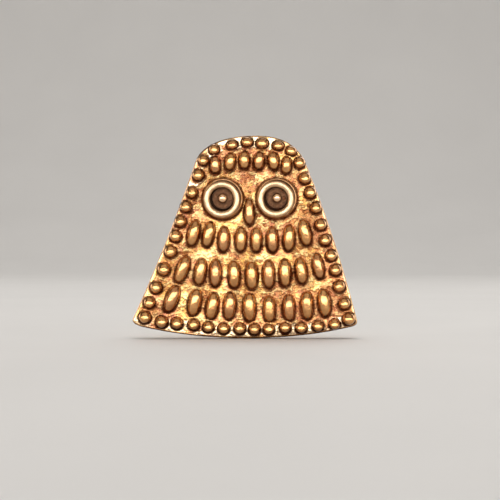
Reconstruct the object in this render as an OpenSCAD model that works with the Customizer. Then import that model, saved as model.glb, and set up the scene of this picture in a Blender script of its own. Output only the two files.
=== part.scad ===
// Metal owl brooch: a bell-shaped plate with soldered grains and ring eyes, and a hinged pin on its back.
// Millimetres. The origin is the middle of the flat back: the owl looks towards -Y, and +Z is its head.

/* [Plate] */
// Width of the plate at its foot; the whole owl follows it
plate_width = 44; // [38:0.5:52]
// Thickness of the plate
plate_thickness = 1.6; // [1.2:0.1:2.4]
// Width of the bevel round the front edge
front_bevel = 0.4; // [0.1:0.05:0.5]
// Width of the bevel round the back edge
back_bevel = 0.15; // [0.05:0.05:0.3]

/* [Grains] */
// Diameter of the round grains up the sides
edge_grain_diameter = 2.24; // [1.6:0.02:2.3]
// Diameter of the round grains along the foot
foot_grain_diameter = 2.16; // [1.6:0.02:2.2]
// Width and length of the squat grains over the head
head_grain = [1.75, 2.2]; // [1.2:0.05:2.4]
// Width and length of the grains in the crown row
crown_grain = [2.1, 3.4]; // [1.4:0.1:4]
// Width and length of the grains in the breast row
breast_grain = [2.25, 5.0]; // [1.4:0.1:6]
// Width and length of the grains in the belly row
belly_grain = [2.3, 5.3]; // [1.4:0.1:6]
// Width and length of the grains in the hem row
hem_grain = [2.45, 5.3]; // [1.4:0.1:6]
// Width and length of the beak
beak_grain = [2.0, 5.0]; // [1.4:0.1:5.4]
// Bluntness of an oval grain's ends: 2 is a plain ellipse
grain_bluntness = 2.4; // [2:0.1:3]
// Share of a grain's radius by which its middle stands clear of the plate
grain_lift = 0.15; // [0:0.05:0.3]

/* [Eyes] */
// Diameter of the collar under each eye ring
eye_collar_diameter = 8.0; // [7:0.1:8.2]
// Height of the collar
eye_collar_height = 0.5; // [0.3:0.05:0.8]
// Thickness of the round ring on the collar
eye_ring_thickness = 1.5; // [1:0.05:1.7]
// Thickness of the sunken disc
eye_disc_thickness = 0.3; // [0.2:0.05:0.6]
// Diameter of the ball in the middle of the eye
pupil_diameter = 1.95; // [1:0.05:2.2]

/* [Pin] */
// Height of the pin above the middle of the plate
pin_z = 3; // [-2:0.5:5]
// Distance from the plate's back to the pin's middle line
pin_height = 3; // [2.6:0.1:4]
// Diameter of the pin's wire
pin_diameter = 1.0; // [0.7:0.05:1]
// Distance from the middle of the plate to the hinge
hinge_x = 11.5; // [10:0.5:12]
// Distance from the middle of the plate to the catch
catch_x = 9.5; // [8:0.5:10]
// Diameter of the hinge rivet
rivet_diameter = 1.0; // [0.8:0.05:1.2]

/* [Fits] */
// Gap all round between a turning part and what it turns in or on
running_gap = 0.05; // [0.02:0.01:0.1]
// Gap at each side of the pin's eye between the ears
side_gap = 0.1; // [0.05:0.01:0.2]

/* [Hidden] */
$fn = 48;
// the owl's layout is drawn for a plate 44 wide, and k fits it to the chosen width
k = plate_width / 44;
front = -plate_thickness;

// the plate's outline, clockwise from its pointed corner: each stretch is a start, two handles and an end
left_side = [[-21.95, -16.0], [-16.9, -4.9], [-13.6, 3.6], [-9.6, 15.0]];
head_left = [[-9.6, 15.0], [-8.4, 18.2], [-3.6, 19.9], [1.8, 19.85]];
head_right = [[1.8, 19.85], [6.1, 20.0], [10.2, 18.7], [11.9, 14.5]];
right_side = [[11.9, 14.5], [16.1, 4.1], [19.1, -5.1], [21.9, -16.0]];
round_corner = [[21.9, -16.0], [22.2, -17.0], [21.8, -17.3], [20.6, -17.6]];
foot = [[20.6, -17.6], [8.3, -20.6], [-7.9, -20.5], [-20.4, -17.5]];
pointed_corner = [[-20.4, -17.5], [-21.4, -17.2], [-22.2, -16.6], [-21.95, -16.0]];
outline_stretches = [
    [left_side, 26], [head_left, 14], [head_right, 14], [right_side, 26],
    [round_corner, 6], [foot, 28], [pointed_corner, 6]
];

// each row of grains follows a curve from its first grain to its last, bent by the handle between them;
// the grains were set by hand, so each round one has its own shift along X and Z and its own share of the
// row's size, and each oval one a shift, a lean in degrees and a share
left_row = [[-19.5, -15.6], [-13.6, 2.3], [-6.0, 17.1]];
left_shifts = [
    [0, 0, 1.06], [-0.2, -0.4, 1], [0, -0.6, 1.03], [0.4, -0.2, 1.08], [0.5, 0.2, 1.05], [0.3, 0.2, 1.03],
    [0, 0.1, 1], [-0.2, 0, 1], [-0.3, -0.1, 0.97], [-0.4, 0.5, 0.98], [-0.7, 0.6, 0.9], [0, 0, 0.88]
];
head_row = [[-2.5, 18.0], [3.7, 19.4], [9.0, 16.8]];
head_shifts = [
    [0, 0, 82, 0.96], [-0.1, 0.1, 92, 1], [-0.1, -0.1, 86, 1.06], [0.2, 0, 95, 1], [0, 0, 112, 0.98]
];
right_row = [[10.65, 14.5], [16.0, -0.1], [20.35, -16.0]];
right_shifts = [
    [0, 0, 0.97], [0, -0.1, 1], [0, 0.1, 0.98], [0.1, 0.1, 0.98], [0, -0.2, 0.98], [-0.1, -0.1, 0.98],
    [0.1, -0.1, 0.98], [0, 0.2, 1], [-0.2, 0.1, 1.02], [-0.1, -0.1, 1.02], [-0.1, 0.05, 1.09]
];
foot_row = [[-16.2, -16.5], [0, -18.9], [17.5, -17.0]];
foot_shifts = [
    [0, 0, 1.1], [0, 0.1, 1.05], [0.3, 0.2, 1.02], [0.1, 0, 0.96], [0.1, -0.1, 0.99], [0.2, 0, 1],
    [0, -0.1, 1.02], [-0.3, -0.1, 0.97], [-0.2, 0.1, 0.98], [-0.2, -0.1, 1], [-0.1, 0, 1], [0, 0, 0.98]
];
crown_row = [[-5.8, 14.1], [1.6, 16.0], [8.1, 14.0]];
crown_shifts = [
    [0, 0, -4, 1], [0, 0, 8, 1], [-0.1, 0, 3, 1.02],
    [0, -0.1, 5, 1.02], [0.1, 0.2, -5, 1.03], [0, 0, 3, 0.97]
];
breast_row = [[-10.0, 0.8], [0.5, -2.0], [11.7, 0.9]];
breast_shifts = [
    [0, 0, 11, 1.03], [-0.1, 0.4, 14, 0.98], [-0.2, -0.1, 3, 0.98], [0.1, 0.1, 4, 0.95],
    [0, 0, 0, 0.95], [0, -0.2, -2, 0.98], [0.1, -0.4, 2, 1.01], [0, 0, -12, 1.03]
];
belly_row = [[-12.2, -6.3], [1.4, -8.8], [14.3, -5.7]];
belly_shifts = [
    [0, 0, 20, 1.02], [0.1, 0.1, 8, 1], [-0.3, 0.2, 2, 1], [0, 0.1, -2, 1], [0.1, -0.1, 0, 1.02],
    [0.1, 0, 0, 1.02], [0, -0.1, 0, 1.01], [-0.1, -0.2, -6, 0.96], [0, 0, -12, 0.93]
];
hem_row = [[-14.2, -12.0], [1.5, -15.2], [15.5, -12.8]];
hem_shifts = [
    [0, 0, 22, 1.02], [0.5, 0, 10, 1], [0.1, -0.2, 8, 0.98], [-0.3, 0.2, 4, 1], [-0.2, 0.1, 0, 1.03],
    [0, -0.2, 0, 0.97], [0.2, -0.1, 0, 0.97], [0.1, 0, 0, 1.02], [0, 0, -4, 1.03]
];
left_eye_at = [-4.3, 7.5];
right_eye_at = [6.2, 7.6];
beak_at = [0.85, 4.9];

// eye: the ring's tube stands on the collar, a step in from its edge, and the disc lies inside both
eye_tube = eye_ring_thickness / 2;
eye_collar_step = 0.3;
eye_ring_middle = eye_collar_diameter / 2 - eye_collar_step - eye_tube;
eye_hole = eye_ring_middle - eye_tube;
// share of the tube that stands above the collar's top
eye_tube_rise = 0.35;
// share of the pupil's diameter by which its middle stands clear of the disc
pupil_lift = 0.12;

// hinge: ears, the eye of the pin between them, and the rivet through all three
ear_radius = 1.35;
ear_thickness = 0.7;
eye_thickness = 1.3;
eye_radius = 1.3;
ear_gap = eye_thickness + 2 * side_gap;
rivet_head_overhang = 0.35;
rivet_head_radius = rivet_diameter / 2 + rivet_head_overhang;
rivet_head_height = 0.4;
rivet_head_taper = 0.25;
foot_thickness = 0.6;
hinge_foot = [5, 5.2];

// pin: a neck, a straight wire and a long taper to the point
neck_end = hinge_x - 2.5;
neck_swell = 0.18;
neck_radius = pin_diameter / 2 + neck_swell;
taper_length = 5;
pin_overhang = 2.5;
pin_tip = -(catch_x + pin_overhang);
point_radius = 0.12;

// catch: an open tube on a foot, and a sleeve that turns inside it
catch_length = 2.4;
catch_outer = 1.7;
catch_inner = 1.25;
catch_mouth = 1.5;
catch_neck_width = 1.8;
catch_foot = [4.2, 5];
sleeve_outer = catch_inner - running_gap;
sleeve_inner = 0.7;
sleeve_mouth = 1.1;
sleeve_flange = 1.55;
flange_thickness = 0.45;
sleeve_end_gap = 0.06;
tab_angle = 50;
tab_reach = 2.9;
tab_width = 1.0;

bronze = [0.66, 0.43, 0.24];
pale_bronze = [0.80, 0.60, 0.36];
plate_bronze = [0.74, 0.50, 0.28];
dark_bronze = [0.26, 0.18, 0.13];
steel = [0.72, 0.72, 0.70];

// a point on a curve with two handles, and on one with a single handle
function curve3(p, t) =
    pow(1 - t, 3) * p[0] + 3 * t * pow(1 - t, 2) * p[1] + 3 * t * t * (1 - t) * p[2] + pow(t, 3) * p[3];
function curve2(p, t) = pow(1 - t, 2) * p[0] + 2 * t * (1 - t) * p[1] + t * t * p[2];

// the outline's points, and the same outline drawn in by a distance
function outline() =
    [for (s = outline_stretches) for (i = [0 : s[1] - 1]) k * curve3(s[0], i / s[1])];
function unit(v) = v / norm(v);
function inset(points, distance) =
    [for (i = [0 : len(points) - 1])
        let (n = len(points), along = unit(points[(i + 1) % n] - points[(i + n - 1) % n]))
        points[i] + distance * [along[1], -along[0]]];

// where grain i of a row sits
function seat(row, shifts, i) =
    k * (curve2(row, i / (len(shifts) - 1)) + [shifts[i][0], shifts[i][1]]);

// moves to a spot on the plate's front, where +Z points out of the plate and +Y to the head
module on_front(spot) {
    translate([spot[0], front, spot[1]])
        rotate([90, 0, 0])
            children();
}

// keeps what stands above Z = 0, so that it lies flat on the plate
module seated(size) {
    intersection() {
        children();
        translate([-size / 2, -size / 2, 0])
            cube(size);
    }
}

module round_grain(diameter) {
    seated(2 * diameter)
        translate([0, 0, grain_lift * diameter / 2])
            sphere(d = diameter);
}

module oval_grain(size, lean) {
    steps = 14;
    power = 2 / grain_bluntness;
    half_oval = [for (i = [0 : steps])
        let (a = 180 * i / steps)
        [size[0] / 2 * pow(sin(a), power), size[1] / 2 * sign(cos(a)) * pow(abs(cos(a)), power)]];
    seated(2 * size[1])
        translate([0, 0, grain_lift * size[0] / 2])
            rotate([90, 0, -lean])
                rotate_extrude()
                    polygon(half_oval);
}

module round_row(row, shifts, diameter) {
    color(bronze)
        for (i = [0 : len(shifts) - 1])
            on_front(seat(row, shifts, i))
                round_grain(k * shifts[i][2] * diameter);
}

module feather(row, shifts, i, size) {
    color(bronze)
        on_front(seat(row, shifts, i))
            oval_grain(k * shifts[i][3] * size, shifts[i][2]);
}

module feather_row(row, shifts, size) {
    for (i = [0 : len(shifts) - 1])
        feather(row, shifts, i, size);
}

// the plate as a stack of outlines from its back to its front
module base_plate() {
    edge = outline();
    count = len(edge);
    levels = [
        [0, back_bevel], [-back_bevel, 0],
        [front + front_bevel, 0], [front + front_bevel / 3, front_bevel / 3], [front, front_bevel]
    ];
    rings = [for (l = levels) [for (p = inset(edge, l[1])) [p[0], l[0], p[1]]]];
    top = len(levels) - 1;
    walls = [for (r = [0 : top - 1]) for (i = [0 : count - 1])
        let (a = r * count + i, b = r * count + (i + 1) % count)
        each [[a, b, b + count], [a, b + count, a + count]]];
    back = [for (i = [0 : count - 1]) count - 1 - i];
    face = [for (i = [0 : count - 1]) top * count + i];
    color(plate_bronze)
        polyhedron([for (r = rings) each r], concat(walls, [back, face]));
}

module beak() {
    color(bronze)
        on_front(k * beak_at)
            oval_grain(k * beak_grain, 0);
}

// collar and ring are one piece: a low step, and a round tube on it
module eye_ring(spot) {
    rise = eye_collar_height + eye_tube_rise * eye_tube;
    color(pale_bronze)
        on_front(k * spot)
            rotate_extrude() {
                translate([k * eye_hole, 0])
                    square([k * (eye_collar_diameter / 2 - eye_hole), eye_collar_height]);
                translate([k * eye_ring_middle, rise])
                    circle(k * eye_tube);
            }
}

module eye_disc(spot) {
    color(dark_bronze)
        on_front(k * spot)
            cylinder(h = eye_disc_thickness, r = k * eye_hole - running_gap);
}

// a small ball with a flat foot on the disc
module pupil(spot) {
    color(pale_bronze)
        on_front(k * spot)
            translate([0, 0, eye_disc_thickness])
                seated(2 * pupil_diameter)
                    translate([0, 0, pupil_lift * pupil_diameter])
                        sphere(d = pupil_diameter);
}

// turns a shape drawn along Z to lie along X, centred on the pin's line
module along_pin(x) {
    translate([x, pin_height, pin_z])
        rotate([0, 90, 0])
            children();
}

module solder_foot(x, size) {
    translate([x - size[0] / 2, 0, pin_z - size[1] / 2])
        cube([size[0], foot_thickness, size[1]]);
}

module ear(z) {
    translate([hinge_x, 0, z])
        difference() {
            union() {
                translate([-ear_radius, foot_thickness / 2, 0])
                    cube([2 * ear_radius, pin_height - foot_thickness / 2, ear_thickness]);
                translate([0, pin_height, 0])
                    cylinder(h = ear_thickness, r = ear_radius);
            }
            translate([0, pin_height, -ear_thickness])
                cylinder(h = 3 * ear_thickness, d = rivet_diameter);
        }
}

module hinge_bracket() {
    color(plate_bronze) {
        solder_foot(hinge_x, hinge_foot);
        ear(pin_z + ear_gap / 2);
        ear(pin_z - ear_gap / 2 - ear_thickness);
    }
}

module hinge_rivet() {
    half = ear_gap / 2 + ear_thickness;
    color(pale_bronze)
        translate([hinge_x, pin_height, pin_z]) {
            translate([0, 0, -half])
                cylinder(h = 2 * half, d = rivet_diameter);
            for (side = [0, 1])
                mirror([0, 0, side])
                    translate([0, 0, half])
                        cylinder(
                            h = rivet_head_height,
                            r1 = rivet_head_radius,
                            r2 = rivet_head_radius - rivet_head_taper
                        );
        }
}

module pin_stem() {
    straight_end = pin_tip + taper_length;
    color(steel)
        difference() {
            union() {
                translate([hinge_x, pin_height, pin_z - eye_thickness / 2])
                    cylinder(h = eye_thickness, r = eye_radius);
                along_pin(neck_end)
                    cylinder(h = hinge_x - neck_end, r = neck_radius);
                along_pin(straight_end)
                    cylinder(h = neck_end - straight_end, d = pin_diameter);
                along_pin(pin_tip)
                    cylinder(h = taper_length, r1 = point_radius, d2 = pin_diameter);
                along_pin(pin_tip)
                    sphere(r = point_radius);
            }
            translate([hinge_x, pin_height, pin_z - eye_thickness])
                cylinder(h = 2 * eye_thickness, r = rivet_diameter / 2 + running_gap);
        }
}

// the mouth of the open tube looks away from the plate, the way the pin swings out
module catch_tube() {
    color(plate_bronze)
        difference() {
            union() {
                solder_foot(-catch_x, catch_foot);
                translate([-catch_x - catch_length / 2, foot_thickness / 2, pin_z - catch_neck_width / 2])
                    cube([catch_length, pin_height - foot_thickness / 2, catch_neck_width]);
                along_pin(-catch_x - catch_length / 2)
                    cylinder(h = catch_length, r = catch_outer);
            }
            along_pin(-catch_x - catch_length)
                cylinder(h = 2 * catch_length, r = catch_inner);
            translate([-catch_x - catch_length, pin_height, pin_z - catch_mouth / 2])
                cube([2 * catch_length, 2 * catch_outer, catch_mouth]);
        }
}

module catch_sleeve() {
    half = catch_length / 2 + sleeve_end_gap + flange_thickness;
    color(steel)
        difference() {
            union() {
                along_pin(-catch_x - half)
                    cylinder(h = 2 * half, r = sleeve_outer);
                for (x = [-catch_x - half, -catch_x + half - flange_thickness])
                    along_pin(x)
                        cylinder(h = flange_thickness, r = sleeve_flange);
                translate([-catch_x - half, pin_height, pin_z])
                    rotate([tab_angle, 0, 0])
                        translate([0, 0, -tab_width / 2])
                            cube([flange_thickness, tab_reach, tab_width]);
            }
            along_pin(-catch_x - 2 * half)
                cylinder(h = 4 * half, r = sleeve_inner);
            translate([-catch_x - 2 * half, pin_height, pin_z - sleeve_mouth / 2])
                cube([4 * half, 2 * catch_outer, sleeve_mouth]);
        }
}

base_plate();
round_row(left_row, left_shifts, edge_grain_diameter);  // edge_grains_left
feather_row(head_row, head_shifts, head_grain);  // edge_grains_head
round_row(right_row, right_shifts, edge_grain_diameter);  // edge_grains_right
round_row(foot_row, foot_shifts, foot_grain_diameter);  // edge_grains_foot
for (i = [0 : len(crown_shifts) - 1])
    feather(crown_row, crown_shifts, i, crown_grain);
for (i = [0 : len(breast_shifts) - 1])
    feather(breast_row, breast_shifts, i, breast_grain);
for (i = [0 : len(belly_shifts) - 1])
    feather(belly_row, belly_shifts, i, belly_grain);
for (i = [0 : len(hem_shifts) - 1])
    feather(hem_row, hem_shifts, i, hem_grain);
beak();
eye_ring(left_eye_at);  // left_eye_ring
eye_ring(right_eye_at);  // right_eye_ring
eye_disc(left_eye_at);  // left_eye_disc
eye_disc(right_eye_at);  // right_eye_disc
pupil(left_eye_at);  // left_pupil
pupil(right_eye_at);  // right_pupil
hinge_bracket();
hinge_rivet();
pin_stem();
catch_tube();
catch_sleeve();
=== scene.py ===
"""Metal owl brooch: looks, lights and camera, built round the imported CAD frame.

Lengths inside the shape functions are millimetres, and make_piece turns them into metres.
The owl faces -Y, so a height above the plate's face is a distance along -Y.
"""
import math

import bmesh
import bpy
import numpy as np
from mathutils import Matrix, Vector


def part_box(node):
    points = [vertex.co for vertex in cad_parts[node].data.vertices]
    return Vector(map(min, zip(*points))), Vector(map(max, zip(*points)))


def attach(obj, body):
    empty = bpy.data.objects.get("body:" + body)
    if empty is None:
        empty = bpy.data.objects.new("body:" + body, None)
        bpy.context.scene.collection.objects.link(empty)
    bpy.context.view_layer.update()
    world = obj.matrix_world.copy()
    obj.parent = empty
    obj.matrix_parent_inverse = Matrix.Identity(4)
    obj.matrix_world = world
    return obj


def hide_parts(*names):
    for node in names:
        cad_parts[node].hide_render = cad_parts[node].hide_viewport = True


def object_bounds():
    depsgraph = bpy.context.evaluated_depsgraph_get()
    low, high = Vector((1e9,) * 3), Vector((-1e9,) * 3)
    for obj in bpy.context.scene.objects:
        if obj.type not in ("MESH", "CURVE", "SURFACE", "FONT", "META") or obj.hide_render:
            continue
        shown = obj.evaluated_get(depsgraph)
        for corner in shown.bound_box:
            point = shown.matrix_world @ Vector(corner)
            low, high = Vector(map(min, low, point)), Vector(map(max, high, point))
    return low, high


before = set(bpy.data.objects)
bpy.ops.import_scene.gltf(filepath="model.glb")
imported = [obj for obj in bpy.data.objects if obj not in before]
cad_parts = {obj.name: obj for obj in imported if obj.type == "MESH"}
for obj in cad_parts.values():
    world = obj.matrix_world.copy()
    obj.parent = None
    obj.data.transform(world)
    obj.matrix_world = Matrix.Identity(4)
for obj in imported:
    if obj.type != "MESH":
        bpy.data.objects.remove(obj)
CAD_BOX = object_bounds()

MM = 0.001
SEED = 7                     # every noise adds its own number to this
OVAL_SEED, ROUND_SEED, RING_SEED, DISC_SEED, PUPIL_SEED = 100, 900, 300, 500, 700

# ------------------------------ sizes, mm
FRONT_GRID = (320, 300)      # quads across and up the plate, both even
ROUND_EDGE = 0.42            # radius of the rolled front edge
ROLL_STEPS, WALL_STEPS = 5, 7
BACK_EDGE = ((0.30, 0.0), (0.16, -0.02), (0.05, -0.08), (0.0, -0.18))   # (inset, y), filed over
BACK_INSET = 0.55            # where the flat of the back starts
WALL_DENT = 0.025            # waviness of the side wall
RIM_WIDTH = 0.75             # smooth band along the edge
RELIEF_BROAD = 0.09          # slow swells of the cast face
RELIEF_LUMP = 0.20           # hammered lumps
RELIEF_PEBBLE = 0.20         # sandy skin
RELIEF_CRINKLE = 0.10        # wrinkles
PEBBLE = 0.62                # across one grain of the sandy skin
FILLET_HEIGHT = 0.14         # solder drawn up round each grain
FILLET_WIDTH = 0.17
MOAT_DEPTH, MOAT_AT, MOAT_WIDTH = 0.05, 0.42, 0.16      # shallow dip outside each fillet
SINK = 0.10                  # how far a grain's foot reaches into the face
SKIRT = 0.16                 # how far its solder flares out over the face
BEAD_HEIGHT, BEAD_REACH = 0.40, 0.42             # solder round a finding's foot
RING_SEGMENTS, DISC_SEGMENTS, BEAD_SEGMENTS = 160, 120, 160
RING_SLIP = (-0.20, -0.19)   # each eye's ring sits a little low and to the left on its collar
PUPIL_SHIFT = ((-0.02, 0.03), (0.05, 0.03))      # each ball from its eye's middle

GRAIN_ROWS = {"crown_feather": 6, "breast_feather": 8, "belly_feather": 9, "hem_feather": 9}
EDGE_GROUPS = ("left", "head", "right", "foot")
SIDES = ("left", "right")


# ------------------------------ noise
PRIMES = (73856093, 19349663, 83492791)      # they scatter neighbouring cells over the table
TABLE = 4096                                 # random values for the cells, a power of two


def lattice_noise(points, size, seed):
    """Smooth noise from -1 to 1 at each point (n, 3), with features of that size."""
    table = np.random.RandomState(seed).rand(TABLE) * 2 - 1
    p = np.asarray(points, float) / size
    cell = np.floor(p).astype(np.int64)
    f = p - cell
    f = f * f * f * (f * (f * 6 - 15) + 10)
    total = np.zeros(len(p))
    for corner in np.ndindex(2, 2, 2):
        x, y, z = (cell + corner).T
        h = x * PRIMES[0] ^ y * PRIMES[1] ^ z * PRIMES[2]
        weight = np.where(corner, f, 1 - f).prod(axis=1)
        total += weight * table[(h ^ (h >> 13)) & (TABLE - 1)]
    return total


def layered_noise(points, size, octaves, seed, rough=0.5):
    """Noise from -1 to 1 in octaves, each half the size of the one before and rough times as strong."""
    total, weight, used = 0.0, 1.0, 0.0
    for i in range(octaves):
        total = total + weight * lattice_noise(points, size / 2**i, seed + 31 * i)
        used += weight
        weight *= rough
    return total / used


def pebbles(xz, size, seed):
    """0 at the middle of each grain of sand and 1 in the creases between them."""
    table = np.random.RandomState(seed).rand(TABLE, 2)
    p = np.asarray(xz, float) / size
    cell = np.floor(p).astype(np.int64)
    near = np.full(len(p), np.inf)
    for dx in (-1, 0, 1):
        for dz in (-1, 0, 1):
            c = cell + (dx, dz)
            h = c[:, 0] * PRIMES[0] ^ c[:, 1] * PRIMES[1]
            spot = c + 0.1 + 0.8 * table[(h ^ (h >> 11)) & (TABLE - 1)]
            near = np.minimum(near, np.linalg.norm(p - spot, axis=1))
    return np.clip(near, 0, 1)


def smooth_step(low, high, x):
    """0 up to low, 1 from high on, and a smooth rise between."""
    t = np.clip((x - low) / (high - low), 0, 1)
    return t * t * (3 - 2 * t)


def fade_out(low, high, x):
    return 1 - smooth_step(low, high, x)


# ------------------------------ reading the frame
WELD = 1e-6                  # m; corners closer than this are one


def welded(node):
    """The CAD node's mesh in mm, with its split corners joined again."""
    bm = bmesh.new()
    bm.from_mesh(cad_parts[node].data)
    bmesh.ops.remove_doubles(bm, verts=bm.verts, dist=WELD)
    bmesh.ops.scale(bm, vec=Vector((1 / MM,) * 3), verts=bm.verts)
    return bm


def node_box(node):
    """The low and high corners of a CAD node, in mm."""
    low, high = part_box(node)
    return np.array(low) / MM, np.array(high) / MM


def islands(bm):
    """Vertex coordinates (n, 3) of each separate solid."""
    left, found = set(bm.verts), []
    while left:
        stack, member = [left.pop()], []
        while stack:
            v = stack.pop()
            member.append(tuple(v.co))
            for e in v.link_edges:
                o = e.other_vert(v)
                if o in left:
                    left.remove(o)
                    stack.append(o)
        found.append(np.array(member))
    return found


def oval_seat(co):
    """A grain's centre, half sizes and height, and its lean (radians, + leans right), from the front."""
    best = None
    for lean in np.radians(np.arange(-90, 90, 1.0)):
        across = co[:, 0] * math.cos(lean) - co[:, 2] * math.sin(lean)
        along = co[:, 0] * math.sin(lean) + co[:, 2] * math.cos(lean)
        size = np.ptp(across), np.ptp(along)
        if best is None or size[0] < best[0]:
            mid = (across.max() + across.min()) / 2, (along.max() + along.min()) / 2
            best = (size[0], size[1], lean, mid)
    width, length, lean, (u, v) = best
    x = u * math.cos(lean) + v * math.sin(lean)
    z = -u * math.sin(lean) + v * math.cos(lean)
    return {"x": x, "z": z, "half_w": width / 2, "half_l": length / 2, "lean": lean,
            "top": FACE_Y - co[:, 1].min()}


def grain_seats(node):
    """The seats of a node's grains, from the lowest up."""
    seats = [oval_seat(co) for co in islands(welded(node))]
    return sorted(seats, key=lambda s: (round(s["z"], 2), s["x"]))


def edge_loop():
    """The plate's widest outline, in order, as (n, 2) X and Z: the level just in front of the back."""
    bm = welded("base_plate")
    level = sorted({round(v.co.y, 3) for v in bm.verts})[-2]
    ring = {v for v in bm.verts if abs(v.co.y - level) < 1e-3}
    start = min(ring, key=lambda v: v.co.x)
    loop, before, here = [start], None, start
    while True:
        step = [e.other_vert(here) for e in here.link_edges if e.other_vert(here) in ring]
        step = [v for v in step if v is not before]
        before, here = here, step[0]
        if here is start:
            break
        loop.append(here)
    co = np.array([(v.co.x, v.co.z) for v in loop])
    bm.free()
    area = 0.5 * np.sum(co[:, 0] * np.roll(co[:, 1], -1) - np.roll(co[:, 0], -1) * co[:, 1])
    return co if area > 0 else co[::-1]


FACE_Y = node_box("base_plate")[0][1]           # the face's plane; the back lies at y = 0
OUTLINE = edge_loop()

OVAL_NAMES = [f"{row}_{i + 1}" for row, count in GRAIN_ROWS.items() for i in range(count)] + ["beak"]
ovals = {name: grain_seats(name)[0] for name in OVAL_NAMES}
rounds = {f"edge_grains_{group}": grain_seats(f"edge_grains_{group}") for group in EDGE_GROUPS}
eyes = {}
for side in SIDES:
    low, high = node_box(f"{side}_eye_ring")
    radius = (high[0] - low[0]) / 2
    eyes[side] = {"x": (low[0] + high[0]) / 2, "z": (low[2] + high[2]) / 2, "half_w": radius,
                  "half_l": radius, "lean": 0.0, "top": FACE_Y - low[1]}


# ------------------------------ mesh helpers
def grid_faces(rows, cols, start=0, closed=True):
    """Quads between rows of points; closed joins each row's end to its start."""
    i, j = np.meshgrid(np.arange(rows - 1), np.arange(cols if closed else cols - 1), indexing="ij")
    a = start + i * cols + j
    b = start + i * cols + (j + 1) % cols
    return np.stack([a, b, b + cols, a + cols], axis=-1).reshape(-1, 4)


def closing_faces(last, cols):
    """Quads from the last closed row of points back to the first."""
    return [(last * cols + j, last * cols + (j + 1) % cols, (j + 1) % cols, j) for j in range(cols)]


def make_piece(name, verts, faces, material, nodes, marks=None):
    """A mesh piece from millimetres, smooth shaded, riding on the plaque in place of CAD nodes."""
    mesh = bpy.data.meshes.new(name)
    mesh.from_pydata((np.asarray(verts) * MM).tolist(), [], [list(map(int, f)) for f in faces])
    bm = bmesh.new()
    bm.from_mesh(mesh)
    bmesh.ops.recalc_face_normals(bm, faces=bm.faces)
    bm.to_mesh(mesh)
    bm.free()
    for mark, values in (marks or {}).items():
        layer = mesh.attributes.new(mark, "FLOAT", "POINT")
        layer.data.foreach_set("value", np.asarray(values, np.float32))
    mesh.polygons.foreach_set("use_smooth", [True] * len(mesh.polygons))
    mesh.materials.append(material)
    piece = bpy.data.objects.new(name, mesh)
    bpy.context.scene.collection.objects.link(piece)
    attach(piece, "plaque")
    if nodes:
        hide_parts(*nodes)


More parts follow.
